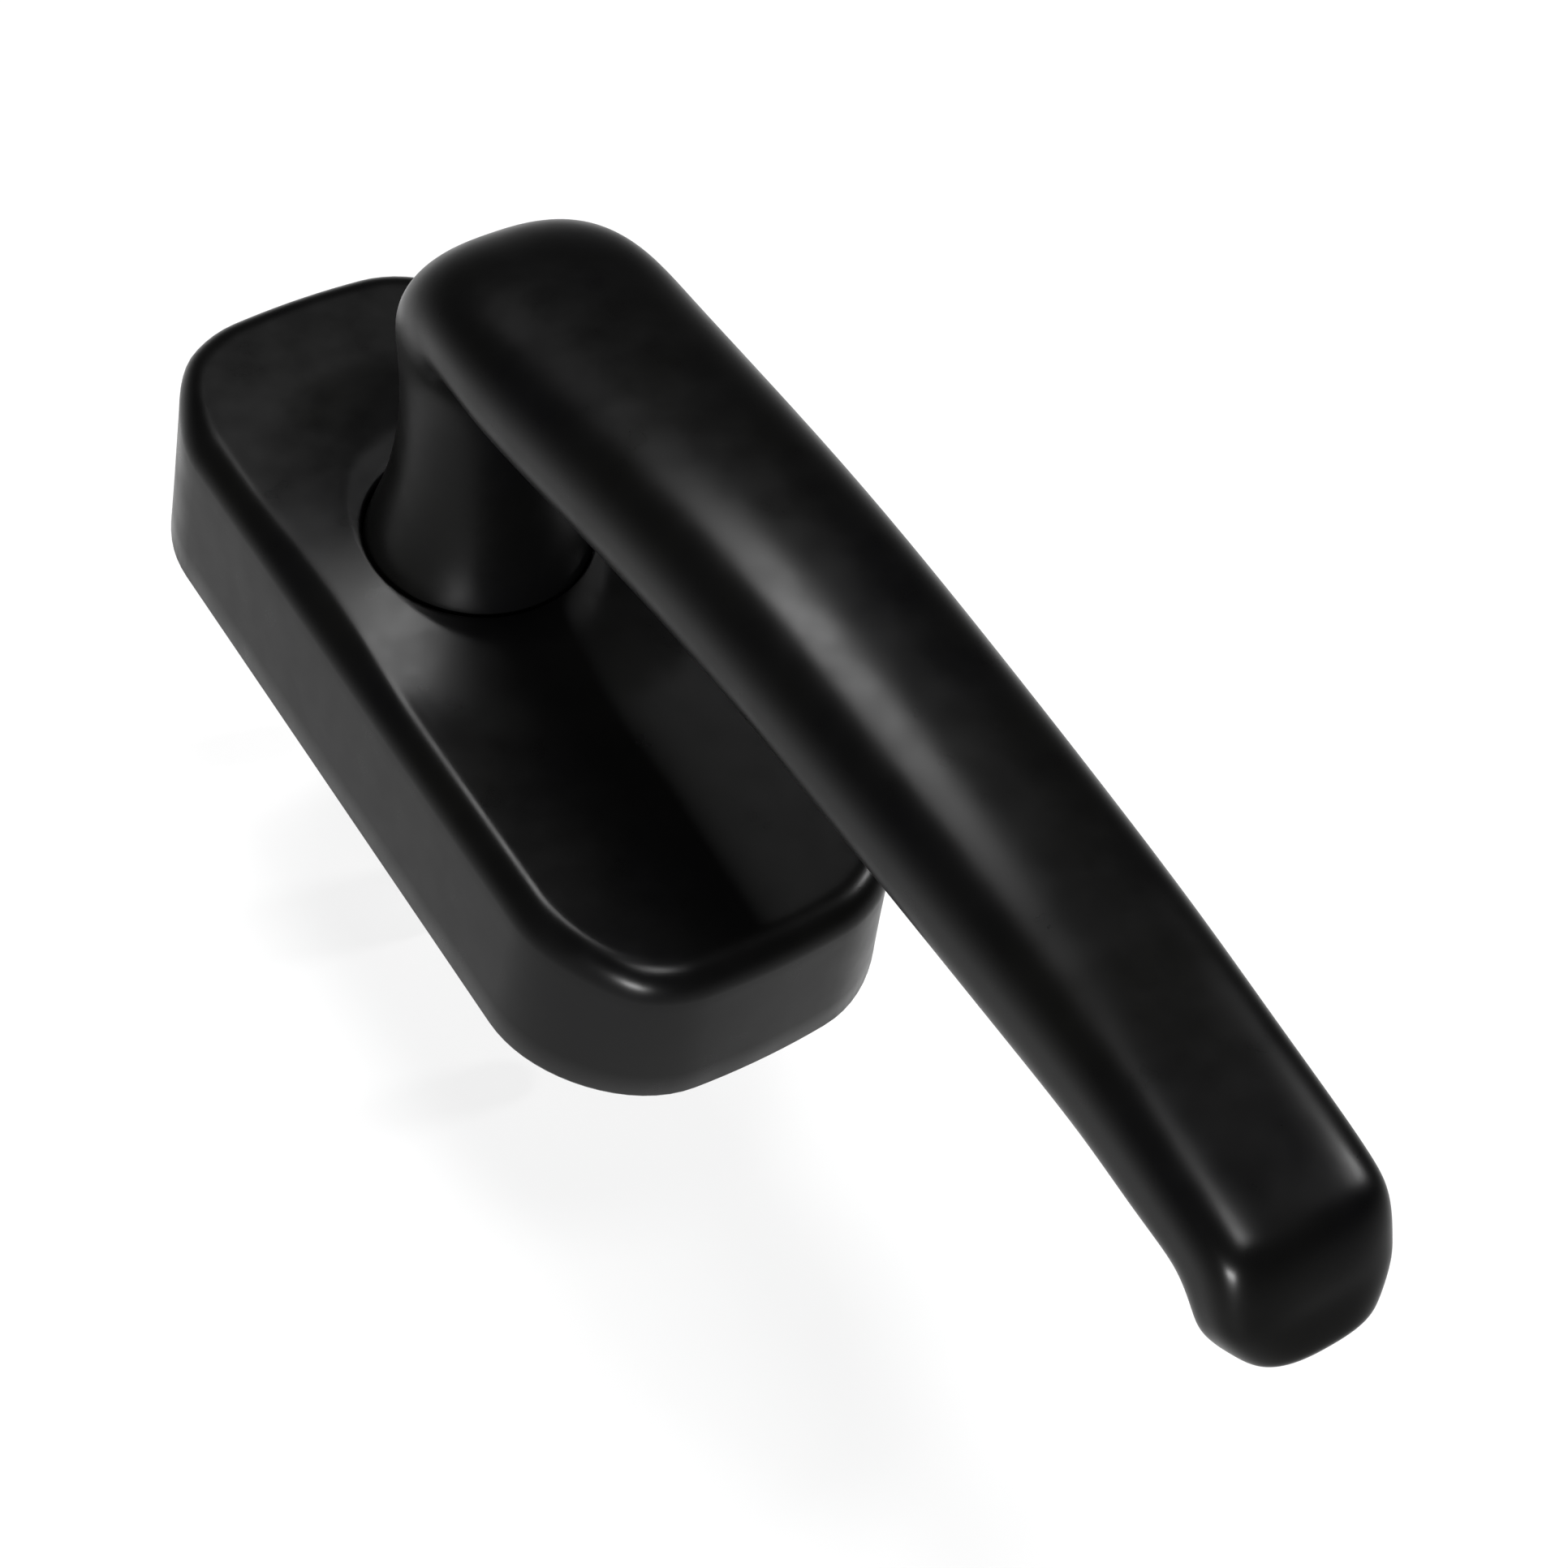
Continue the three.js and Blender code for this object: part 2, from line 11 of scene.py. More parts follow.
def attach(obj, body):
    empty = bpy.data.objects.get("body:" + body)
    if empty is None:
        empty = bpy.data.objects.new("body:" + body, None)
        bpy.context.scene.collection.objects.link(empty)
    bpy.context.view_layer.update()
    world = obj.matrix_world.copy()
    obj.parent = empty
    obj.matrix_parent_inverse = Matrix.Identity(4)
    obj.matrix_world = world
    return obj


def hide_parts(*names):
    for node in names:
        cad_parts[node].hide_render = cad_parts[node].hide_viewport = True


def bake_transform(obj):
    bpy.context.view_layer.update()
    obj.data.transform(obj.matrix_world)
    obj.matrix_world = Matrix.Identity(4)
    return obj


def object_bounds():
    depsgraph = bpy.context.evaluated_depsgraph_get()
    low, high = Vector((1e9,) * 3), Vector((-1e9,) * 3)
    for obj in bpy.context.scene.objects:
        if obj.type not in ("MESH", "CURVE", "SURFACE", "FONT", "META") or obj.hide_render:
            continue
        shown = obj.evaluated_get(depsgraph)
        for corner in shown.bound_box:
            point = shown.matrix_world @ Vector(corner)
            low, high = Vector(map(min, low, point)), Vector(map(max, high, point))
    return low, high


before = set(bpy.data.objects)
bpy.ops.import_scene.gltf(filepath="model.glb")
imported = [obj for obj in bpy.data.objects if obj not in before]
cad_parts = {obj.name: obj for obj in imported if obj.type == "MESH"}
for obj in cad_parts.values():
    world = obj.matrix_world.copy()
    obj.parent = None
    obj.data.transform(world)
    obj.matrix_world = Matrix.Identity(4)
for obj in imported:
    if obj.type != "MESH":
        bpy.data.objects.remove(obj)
cad_low, cad_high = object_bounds()

MM = 0.001  # metres
TAU = 2 * math.pi
QUARTERS = ((1, 1), (-1, 1), (-1, -1), (1, -1))  # signs of X and Y, going round
EDGE_DEGREES = (22, 45, 68, 90)  # steps of a small rounded edge

# ------------------------------------------------------------------ camera (degrees, metres)

CAMERA_AZIMUTH = -41.47
CAMERA_ELEVATION = 51.53
CAMERA_ROLL = 10.84
CAMERA_DISTANCE = 0.262
CAMERA_TARGET = (0.01148, -0.02920, 0.00919)
CAMERA_LENS = 75.885

# ------------------------------------------------------------------ driving dimensions (mm)

COVER_HALF_WIDTH = 17
COVER_HALF_LENGTH = 38.8
COVER_CENTRE_Y = -7
COVER_CORNER = 11
COVER_END_BOW = 2.1
COVER_HEIGHT = 15.2
COVER_EDGE = 2.6
COVER_BORDER = COVER_EDGE + 2.1  # as far in as this, the top's mesh runs parallel to the outline
COVER_WALL = 1.6
COVER_FOOT = 0.35  # bevel round the open bottom
COVER_DRAFT = 1.5  # how far the long sides lean in towards the top
DRAFT_START = 10  # the lean sets in this far from the middle
DRAFT_REACH = 6.5
COVER_HOLE = 9.4
HOLE_EDGE = 0.2
RING_RADIUS = 11.5
RING_THICKNESS = 1.2
COLLAR_RISE = 1.1
COLLAR_REACH = 16.5
COLLAR_STRETCH = 0.75  # below 1 draws the collar out along the rosette
COLLAR_HOLLOW = 1.5  # above 1 hollows the collar's flank
COLLAR_FADE = 1.3 * COVER_EDGE  # the collar dies away this close to the outline

# bearing, drive and detent; a pair is a bottom and a top height
RUN_GAP = 0.2
GAP = 0.3
PLATE_HEIGHT = 11.4
PLATE_INSET = COVER_WALL + 0.5
PLATE_EDGE = 0.8
RECESS_RADIUS = 12.9
RECESS_DEPTH = 4.8
JOURNAL_RADIUS = 6.6
JOURNAL_END = 0.4
BUSH_RADIUS = 8
FLANGE_RADIUS = 9.1
FLANGE = (11.6, 12.2)
THRUST = (12.4, 12.9)
FOOT_BOTTOM = 13.1
SPINDLE_SIDE = 7
SPINDLE_BEHIND = 32
SPINDLE_TOP = 25
SPINDLE_CHAMFER = 0.7
SPINDLE_CORNER = 0.7
DRIVE_ACROSS = 10.4
PIN_RADIUS = 1.25
PIN_HALF_LENGTH = 6.2
PIN_HEIGHT = 8.5
PIN_WALL = 0.4
DISC = (2.5, 4.5)
DISC_RADIUS = 12.5
WASHER = (0.5, 1.1)
WASHER_RADIUS = 9.5
WAVE_RADIUS = 9.6
WAVE_THICKNESS = 0.3
WAVE_HEIGHT = 0.28
WAVES = 3
BALL_CIRCLE = 10.6
BALL_RADIUS = 1.75
BALL_HEIGHT = 6.5
POCKET_RADIUS = 1.95
POCKET_TOP = 10.7
DIMPLE_RADIUS = 2.1
DIMPLE_DEPTH = 0.9
SPRING_RADIUS = 1.25
SPRING_WIRE = 0.2
SPRING_TURNS = 3.5
SPRING_END_TURNS = 0.75
SPRING_END_PITCH = 2.1 * SPRING_WIRE

# fixings
SCREW_PLACES = (-21.5, 21.5)
NOSE_RADIUS = 5
NOSE_LENGTH = 6
NOSE_BEVEL = 0.6
SCREW_THREAD = 2.4
THREAD_PITCH = 0.8
THREAD_DEPTH = 0.42
SHANK_RADIUS = SCREW_THREAD - 0.35
SCREW_LENGTH = 40
SCREW_HEAD = 4.6
HEAD_CONE = 2.2
SCREW_SUNK = 0.5
CORE_PLACE = 4.4  # the two cored pockets at the plate's front end
CORE_HALF_WIDTH = 3.5
CORE_ENDS = (-39.75, -32.25)
CORE_FLOOR = 2.5
CLIP_Y = -31
CLIP_LENGTH = 10
CLIP_NOTCH = 1.1
CLIP_HEIGHTS = (3.2, 8.8)
CLIP_THICKNESS = 0.45
CLIP_BOW = 0.75

# Sections across the lever, from the neck foot to the tip. Each one runs from a point on the upper
# profile (the back of the neck, the top of the grip, the front of the tip) to one on the lower profile.
# Forward is -Y, and a squareness of 2 is round:
# [upper forward, upper height, lower forward, lower height, half width, upper and lower squareness]
LEVER_STATIONS = [
    (-9.2, 13.1, 9.2, 13.1, 9.2, 2, 2),
    (-9.2, 15.4, 9.2, 15.4, 9.2, 2, 2),
    (-8.1, 19.5, 8.1, 19.5, 8.1, 2, 2),
    (-7.1, 24.5, 7.1, 24.5, 7.1, 2, 2),
    (-6.5, 30.5, 6.6, 30.5, 6.8, 2, 2),
    (-6, 37, 6.6, 36.6, 7.3, 2.1, 2.1),
    (-3.9, 43.1, 7.3, 39.6, 8.3, 2.4, 2.2),
    (-0.1, 48.2, 8.6, 40.6, 8.8, 2.6, 2.3),
    (5.6, 50.8, 11, 40.6, 9.1, 2.9, 2.3),
    (13, 52, 15.5, 40.5, 9.1, 2.8, 2.3),
    (33.2, 54.5, 34.2, 42.7, 8.4, 2.6, 2.4),
    (54.7, 54.8, 54.6, 43.7, 7.8, 2.7, 2.5),
    (73.9, 54, 73.1, 43.5, 7.1, 3.2, 2.6),
    (83.6, 52.8, 81.8, 43.4, 6.8, 3.6, 2.6),
    (90.2, 51.7, 86.6, 43.2, 6.8, 3.8, 2.6),
    (94.2, 50.9, 89.4, 43.1, 6.8, 3.8, 2.5),
    (96.1, 50.1, 90.8, 43, 6.8, 3.7, 2.5),
    (97.4, 48.6, 91.9, 42.7, 6.8, 3.4, 2.5),
    (98.4, 46.8, 92.9, 41.9, 6.7, 3.2, 2.5),
    (99.1, 45.3, 93.8, 40.7, 6.3, 3.4, 2.5),
    (100.1, 43.5, 95, 39.9, 5.2, 3, 2.5),
    (100.3, 42.6, 96.6, 40.2, 4.2, 2.6, 2.4),
    (99.9, 41.6, 98.4, 41.1, 2.6, 2.2, 2.2),
]

# ------------------------------------------------------------------ stage (metres, degrees, watts)

FLOOR_HALF = 6
FLOOR_DROP = 1.5 * MM  # below the lowest point of the object
POOL_MIDDLE = (55 * MM, 8 * MM, 0)  # where the floor's painted pool of light glows white
POOL_REACH = (138 * MM, 330 * MM)  # full glow within the first, the faint one beyond the second
POOL_GLOW = (0.79, 0.25)
HORIZON = 0.2
OVERHEAD = 0.04
LIGHT_TARGET = (0, -0.03, 0.03)
SOFTBOXES = {  # azimuth, elevation, distance, width, height, watts
    "key": (176, 62, 0.9, 0.42, 0.115, 10),
    "front": (-13, 76, 1.2, 0.25, 0.25, 11),
    "right": (79, 38, 1.2, 0.15, 0.15, 9),
    "fill": (-50, 9, 1.5, 0.5, 0.25, 55),
}


# ------------------------------------------------------------------ materials


class Nodes:
    """A small builder for one material's node tree."""

    def __init__(self, name):
        self.material = bpy.data.materials.new(name)
        self.material.use_nodes = True
        self.tree = self.material.node_tree
        self.shader = self.tree.nodes["Principled BSDF"]
        self.place = self.tree.nodes.new("ShaderNodeTexCoord").outputs["Object"]

    def add(self, kind, inputs, **settings):
        """A node whose inputs are linked or set, and whose properties are settings."""
        node = self.tree.nodes.new(kind)
        for key, value in settings.items():
            setattr(node, key, value)
        for key, value in inputs.items():
            if isinstance(value, bpy.types.NodeSocket):
                self.tree.links.new(value, node.inputs[key])
            else:
                node.inputs[key].default_value = value
        return node

    def noise(self, size_mm, detail=3.0, rough=0.5, stretch=(1, 1, 1)):
        """Noise whose features are about size_mm wide, drawn out along an axis by stretch."""
        scale = [1 / (size_mm * MM * s) for s in stretch]
        vector = self.add("ShaderNodeMapping", {"Vector": self.place, "Scale": scale})
        made = self.add(
            "ShaderNodeTexNoise",
            {"Vector": vector.outputs[0], "Scale": 1.0, "Detail": detail, "Roughness": rough},
        )
        return made.outputs["Fac"]

    def span(self, value, low, high, start=0.3, end=0.7):
        """Maps value from start..end to low..high."""
        made = self.add(
            "ShaderNodeMapRange",
            {"Value": value, "From Min": start, "From Max": end, "To Min": low, "To Max": high},
        )
        return made.outputs["Result"]

    def blend(self, value, first, second):
        """A colour between first and second."""
        made = self.add("ShaderNodeMix", {0: value}, data_type="RGBA")
        made.inputs["A"].default_value = (*first, 1)
        made.inputs["B"].default_value = (*second, 1)
        return made.outputs["Result"]

    def bumps(self, *layers):
        """Stacks (height, strength, depth in mm) into one normal."""
        normal = None
        for height, strength, depth in layers:
            inputs = {"Height": height, "Strength": strength, "Distance": depth * MM}
            if normal is not None:
                inputs["Normal"] = normal
            normal = self.add("ShaderNodeBump", inputs).outputs["Normal"]
        return normal

    def finish(self, colour, roughness, normal=None, **constants):
        """The material, with its shader linked and the constants set."""
        for key, value in (("Base Color", colour), ("Roughness", roughness), ("Normal", normal)):
            if value is not None:
                self.tree.links.new(value, self.shader.inputs[key])
        for key, value in constants.items():
            self.shader.inputs[key.replace("_", " ")].default_value = value
        return self.material


def black_coat():
    """Satin powder coat: fine orange peel and faint cloudiness."""
    nodes = Nodes("black_coat")
    cloud = nodes.noise(12, detail=1)
    colour = nodes.blend(nodes.span(cloud, 0, 1), (0.0010, 0.0010, 0.0011), (0.0013, 0.0013, 0.0012))
    roughness = nodes.span(nodes.noise(3.2, detail=3), 0.27, 0.34)
    normal = nodes.bumps((nodes.noise(2.2, detail=1), 0.12, 0.02))
    return nodes.finish(colour, roughness, normal, Specular_IOR_Level=0.08)


def zinc_casting():
    """Tumbled zinc die casting."""
    nodes = Nodes("zinc_casting")
    cloud = nodes.noise(9, detail=5, rough=0.6)
    colour = nodes.blend(nodes.span(cloud, 0, 1), (0.36, 0.365, 0.37), (0.44, 0.445, 0.45))
    roughness = nodes.span(nodes.noise(1.1, detail=5, rough=0.6), 0.42, 0.56)
    normal = nodes.bumps((nodes.noise(0.5, detail=4), 0.35, 0.05), (nodes.noise(2.5), 0.2, 0.06))
    return nodes.finish(colour, roughness, normal, Metallic=1.0)


def machined_zinc():
    """Turned zinc with fine rings left by the tool."""
    nodes = Nodes("machined_zinc")
    lines = nodes.noise(0.12, detail=3, rough=0.7, stretch=(40, 40, 1))
    cloud = nodes.noise(3, detail=4)
    colour = nodes.blend(nodes.span(cloud, 0, 1), (0.50, 0.505, 0.51), (0.62, 0.62, 0.62))
    roughness = nodes.span(lines, 0.2, 0.38)
    normal = nodes.bumps((lines, 0.3, 0.02), (nodes.noise(1.5), 0.08, 0.03))
    return nodes.finish(colour, roughness, normal, Metallic=1.0)


def plated_steel(name, stretch=(1, 1, 1)):
    """Blue-passivated zinc plating over drawn or turned steel."""
    nodes = Nodes(name)
    lines = nodes.noise(0.22, detail=4, rough=0.7, stretch=stretch)
    cloud = nodes.noise(5, detail=3)
    colour = nodes.blend(nodes.span(cloud, 0, 1), (0.60, 0.63, 0.68), (0.588, 0.5859, 0.5576))
    roughness = nodes.span(lines, 0.22, 0.40)
    normal = nodes.bumps((lines, 0.22, 0.02), (nodes.noise(1.6), 0.08, 0.03))
    return nodes.finish(colour, roughness, normal, Metallic=1.0)


def spring_steel():
    """Tempered strip and wire, oiled, with straw and grey patches."""
    nodes = Nodes("spring_steel")
    patches = nodes.noise(2.4, detail=4)
    colour = nodes.blend(nodes.span(patches, 0, 1), (0.27, 0.275, 0.29), (0.40, 0.385, 0.36))
    roughness = nodes.span(nodes.noise(0.4, detail=4), 0.2, 0.34)
    normal = nodes.bumps((nodes.noise(0.16, detail=3), 0.15, 0.01))
    return nodes.finish(colour, roughness, normal, Metallic=1.0)


def ball_steel():
    """Polished bearing steel with faint rolling marks."""
    nodes = Nodes("ball_steel")
    colour = nodes.blend(nodes.span(nodes.noise(1.2), 0, 1), (0.66, 0.665, 0.68), (0.74, 0.74, 0.745))
    roughness = nodes.span(nodes.noise(0.3, detail=5, rough=0.7), 0.05, 0.14)
    normal = nodes.bumps((nodes.noise(0.1, detail=4, stretch=(1, 1, 4)), 0.05, 0.005))
    return nodes.finish(colour, roughness, normal, Metallic=1.0)


def moulded(name, dark, light, low, high):
    """Moulded plastic with a spark-eroded texture."""
    nodes = Nodes(name)
    colour = nodes.blend(nodes.span(nodes.noise(3, detail=3), 0, 1), dark, light)
    roughness = nodes.span(nodes.noise(0.5, detail=4), low, high)
    normal = nodes.bumps((nodes.noise(0.14, detail=2), 0.3, 0.02))
    return nodes.finish(colour, roughness, normal)


def glowing_floor():
    """Floor with a painted pool of light: its emission glows white round the object, falling off to grey
    further out.
    """
    nodes = Nodes("glowing_floor")
    colour = nodes.blend(nodes.span(nodes.noise(40), 0, 1), (0.095, 0.095, 0.095), (0.105, 0.105, 0.105))
    roughness = nodes.span(nodes.noise(12), 0.8, 0.9)
    # painted light: emission makes the floor glow, fully in a pool round the object and fainter further out
    away = nodes.add("ShaderNodeVectorMath", {0: nodes.place, 1: POOL_MIDDLE}, operation="DISTANCE")
    glow = nodes.span(away.outputs["Value"], *POOL_GLOW, *POOL_REACH)
    nodes.shader.inputs["Emission Color"].default_value = (1, 1, 1, 1)
    nodes.tree.links.new(glow, nodes.shader.inputs["Emission Strength"])
    return nodes.finish(colour, roughness)


# ------------------------------------------------------------------ mesh helpers


def outward_mesh(name, points, faces):
    """A mesh with every face pointing out."""
    mesh = bpy.data.meshes.new(name)
    mesh.from_pydata(points, [], faces)
    work = bmesh.new()
    work.from_mesh(mesh)
    bmesh.ops.recalc_face_normals(work, faces=work.faces)
    work.to_mesh(mesh)
    work.free()
    return mesh


def placed(name, data):
    """An object of the scene."""
    made = bpy.data.objects.new(name, data)
    bpy.context.scene.collection.objects.link(made)
    return made


def piece(name, points, faces, material, body, node, slot, sharp_degrees=35, flats=False):
    """A mesh object from points in mm that stands for a CAD node, smooth up to sharp_degrees.

    With flats, large faces keep a flat look beside the narrow ones of their rounded edges.
    """
    mesh = outward_mesh(name, [Vector(p) * MM for p in points], faces)
    mesh.shade_smooth()
    mesh.set_sharp_from_angle(angle=math.radians(sharp_degrees))
    mesh.materials.append(material)
    made = placed(name, mesh)
    if body:
        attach(made, body)
    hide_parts(node)
    if flats:
        weighted = made.modifiers.new("flats", "WEIGHTED_NORMAL")
        weighted.keep_sharp = True
    return made


def skin(rings, closed=False):
    """Points and faces over rings with the same number of points.

    The first and last rings are capped or, if closed, joined to each other.
    """
    count = len(rings[0])
    points = [p for ring in rings for p in ring]
    faces = []
    last = len(rings) if closed else len(rings) - 1
    for r in range(last):
        following = (r + 1) % len(rings)
        for i in range(count):
            j = (i + 1) % count
            faces.append((r * count + i, r * count + j, following * count + j, following * count + i))
    if not closed:
        faces.append(tuple(range(count))[::-1])
        faces.append(tuple(range((len(rings) - 1) * count, len(rings) * count)))
    return points, faces


def circle(radius, z, count=96, x=0, y=0):
    """Points round an upright axis."""
    angles = np.arange(count) * TAU / count
    return [(x + radius * math.cos(a), y + radius * math.sin(a), z) for a in angles]


def rounded(profile, radius, steps=4):
    """Rounds the corners of a closed (radius, height) profile."""
    made = []
    count = len(profile)
    for i, corner in enumerate(profile):
        here = Vector(corner)
        before = Vector(profile[i - 1]) - here
        after = Vector(profile[(i + 1) % count]) - here
        reach = min(radius, before.length * 0.45, after.length * 0.45)
        start = here + before.normalized() * reach
        end = here + after.normalized() * reach
        for k in range(steps + 1):
            t = k / steps
            made.append((1 - t) ** 2 * start + 2 * t * (1 - t) * here + t * t * end)
    return made


def turned(profile, edge, count=128):
    """A ring turned round the Z axis from a closed (radius, height) profile."""
    return skin([circle(r, z, count) for r, z in rounded(profile, edge)], closed=True)


def natural_spline(knots, values, at):
    """Cubic spline with a continuous second derivative through values, one column each."""
    knots, values, at = np.asarray(knots, float), np.asarray(values, float), np.asarray(at, float)
    gaps = np.diff(knots)
    count = len(knots)
    system = np.eye(count)
    right = np.zeros_like(values)
    for i in range(1, count - 1):
        system[i, i - 1 : i + 2] = gaps[i - 1], 2 * (gaps[i - 1] + gaps[i]), gaps[i]
        rise = (values[i + 1] - values[i]) / gaps[i] - (values[i] - values[i - 1]) / gaps[i - 1]
        right[i] = 6 * rise
    bend = np.linalg.solve(system, right)
    k = np.clip(np.searchsorted(knots, at, side="right") - 1, 0, count - 2)
    gap = gaps[k][:, None]
    a = ((knots[k + 1] - at) / gaps[k])[:, None]
    b = 1 - a
    curved = ((a**3 - a) * bend[k] + (b**3 - b) * bend[k + 1]) * gap**2 / 6
    return a * values[k] + b * values[k + 1] + curved


# ------------------------------------------------------------------ carving


def shape(points, faces):
    """A loose helper object in mm, for carving."""
    return placed("shape", outward_mesh("shape", [tuple(p) for p in points], faces))


def block(low, high):
    """A box between two corners."""
    points = [(x, y, z) for x in (low[0], high[0]) for y in (low[1], high[1]) for z in (low[2], high[2])]
    faces = [(0, 1, 3, 2), (4, 6, 7, 5), (0, 4, 5, 1), (2, 3, 7, 6), (0, 2, 6, 4), (1, 5, 7, 3)]
    return shape(points, faces)


def spun(profile, count, x=0, y=0):
    """A solid round an upright axis from (radius, height) pairs, bottom to top."""
    return shape(*skin([circle(r, z, count, x, y) for r, z in profile]))


def crossbar(radius, half_length, z, count=40):
    """A round bar along X through the axis."""
    rings = [[(x, b, z + a) for a, b, _ in circle(radius, 0, count)] for x in (-half_length, half_length)]
    return shape(*skin(rings))


def carved(target, cuts=(), joins=(), edge=0.0, edge_angle=30, segments=2):
    """(points, faces) of target with joins added, cuts taken away and its edges rounded."""
    for others, operation in ((joins, "UNION"), (cuts, "DIFFERENCE")):
        for other in others:
            step = target.modifiers.new("cut", "BOOLEAN")
            step.operation = operation
            step.solver = "EXACT"
            step.object = other
    if edge:
        bevel = target.modifiers.new("edge", "BEVEL")
        bevel.width = edge
        bevel.segments = segments
        bevel.limit_method = "ANGLE"
        bevel.angle_limit = math.radians(edge_angle)
    bpy.context.view_layer.update()
    graph = bpy.context.evaluated_depsgraph_get()
    mesh = bpy.data.meshes.new_from_object(target.evaluated_get(graph))
    points = [tuple(v.co) for v in mesh.vertices]
    faces = [tuple(f.vertices) for f in mesh.polygons]
    for used in (target, *joins, *cuts):
        bpy.data.objects.remove(used)
    return points, faces


def squared(ring, across):
    """Cuts a ring back to a square of that width."""
    half = across / 2
    return [(min(max(x, -half), half), min(max(y, -half), half), z) for x, y, z in ring]


# ------------------------------------------------------------------ rosette


def rosette_ring(inset, corner_points=18, side_points=26, end_points=8):
    """Rounded rectangle with bowed short ends, drawn in by inset, as points in the XY plane."""
    half_width = COVER_HALF_WIDTH - inset
    half_length = COVER_HALF_LENGTH - COVER_END_BOW - inset
    corner = max(COVER_CORNER - inset, 1.0)
    ring = []
    for quarter, (side_x, side_y) in enumerate(QUARTERS):
        for i in range(corner_points):
            angle = (quarter + i / (corner_points - 1)) * math.pi / 2
            x = side_x * (half_width - corner) + corner * math.cos(angle)
            y = side_y * (half_length - corner) + corner * math.sin(angle)
            ring.append((x, y))
        if quarter % 2 == 0:
            reach = side_x * (half_width - corner)
            steps = np.linspace(1, -1, end_points + 2)[1:-1]
            ring += [(reach * s, side_y * half_length) for s in steps]
        else:
            reach = side_y * (half_length - corner)
            steps = np.linspace(1, -1, side_points + 2)[1:-1]
            ring += [(side_x * half_width, reach * s) for s in steps]
    made = []
    for x, y in ring:
        across = x / half_width
        reach = max(abs(y) - (half_length - corner), 0) / corner
        bow = COVER_END_BOW * (1 - across * across) * reach
        made.append((x, COVER_CENTRE_Y + y + math.copysign(bow, y)))
    return np.array(made)


def smooth(t):
    """Eases from 0 to 1 as t does."""
    t = np.clip(t, 0, 1)
    return t * t * (3 - 2 * t)


def cover_top(x, y, inset):
    """Height of the cover's top face at a point that lies inset from the outline."""
    drop = max(COVER_EDGE - inset, 0.0)
    height = COVER_HEIGHT - COVER_EDGE + math.sqrt(COVER_EDGE**2 - drop**2)
    rim = COVER_HOLE + HOLE_EDGE
    away = (math.hypot(x, y * COLLAR_STRETCH) - rim) / (COLLAR_REACH - rim)
    collar = (1 - min(max(away, 0.0), 1.0)) ** COLLAR_HOLLOW
    return height + COLLAR_RISE * collar * smooth(inset / COLLAR_FADE)


def drafted(ring, z):
    """Ring with its long sides leaning in by the draft they have at height z."""
    x = ring[:, 0]
    share = smooth((abs(x) - DRAFT_START) / DRAFT_REACH) * z / COVER_HEIGHT
    return np.column_stack([x - np.sign(x) * COVER_DRAFT * share, ring[:, 1]])


def flat_ring(inset, z):
    return [(x, y, z) for x, y in drafted(rosette_ring(inset), z)]


def top_ring(ring, inset):
    return [(x, y, cover_top(x, y, inset)) for x, y in ring]


def towards_circle(ring, radius, share):
    """A ring between ring and the circle of radius round the axis."""
    directions = ring / np.linalg.norm(ring, axis=1)[:, None]
    return ring * (1 - share) + directions * radius * share


def cover_side(edge_steps=14):
    """Rings from the foot up the side and over the rounded edge."""
    rings = [flat_ring(0, z) for z in (COVER_FOOT, 3, 6, 9, 11.5)]
    for i in range(edge_steps + 1):
        angle = i / edge_steps * math.pi / 2
        inset = COVER_EDGE * (1 - math.cos(angle))
        rise = COVER_HEIGHT - COVER_EDGE * (1 - math.sin(angle))
        rings.append(top_ring(drafted(rosette_ring(inset), rise), inset))
    return rings


def cover_face(steps=26):
    """Rings over the top face: parallel to the outline at first, then easing into the hole."""
    lip = COVER_HOLE + HOLE_EDGE
    rings = []
    for inset in np.linspace(COVER_EDGE + 0.35, COVER_BORDER, 6):
        rings.append(top_ring(drafted(rosette_ring(inset), COVER_HEIGHT), inset))
    base = drafted(rosette_ring(COVER_BORDER), COVER_HEIGHT)
    for i in range(1, steps + 1):
        share = i / steps
        inset = COVER_BORDER + share * (COVER_HALF_WIDTH - COVER_BORDER)
        rings.append(top_ring(towards_circle(base, lip, share), inset))
    rim = max(z for _, _, z in rings[-1])
    for degrees in EDGE_DEGREES:
        turn = math.radians(degrees)
        z = rim - HOLE_EDGE * (1 - math.cos(turn))
        ring = towards_circle(base, lip - HOLE_EDGE * math.sin(turn), 1)
        rings.append([(x, y, z) for x, y in ring])
    return rings


def cover_inside():
    """Rings from the hole over the ceiling and down the inner wall to the foot."""
    base = drafted(rosette_ring(COVER_BORDER), COVER_HEIGHT)
    ceiling = COVER_HEIGHT - COVER_WALL
    rings = []
    for widening, share, z in ((0, 1, ceiling + 0.15), (0.15, 1, ceiling), (0, 0.5, ceiling)):
        ring = towards_circle(base, COVER_HOLE + widening, share)
        rings.append([(x, y, z) for x, y in ring])
    rings += [flat_ring(3.4, ceiling), flat_ring(2.2, ceiling - 0.3), flat_ring(COVER_WALL, ceiling - 1.2)]
    rings += [flat_ring(COVER_WALL, 0.25), flat_ring(COVER_WALL - 0.25, 0)]
    rings += [flat_ring(COVER_FOOT, 0), flat_ring(0.1, 0.1)]
    return rings


def make_cover(material):
    made = skin(cover_side() + cover_face() + cover_inside(), closed=True)
    piece("rosette_cover", *made, material, "cover", "cover", "black_coat", 50)


# ------------------------------------------------------------------ lever


def signed_power(value, power):
    """Power of the size of value, with value's sign."""
    return math.copysign(abs(value) ** power, value)


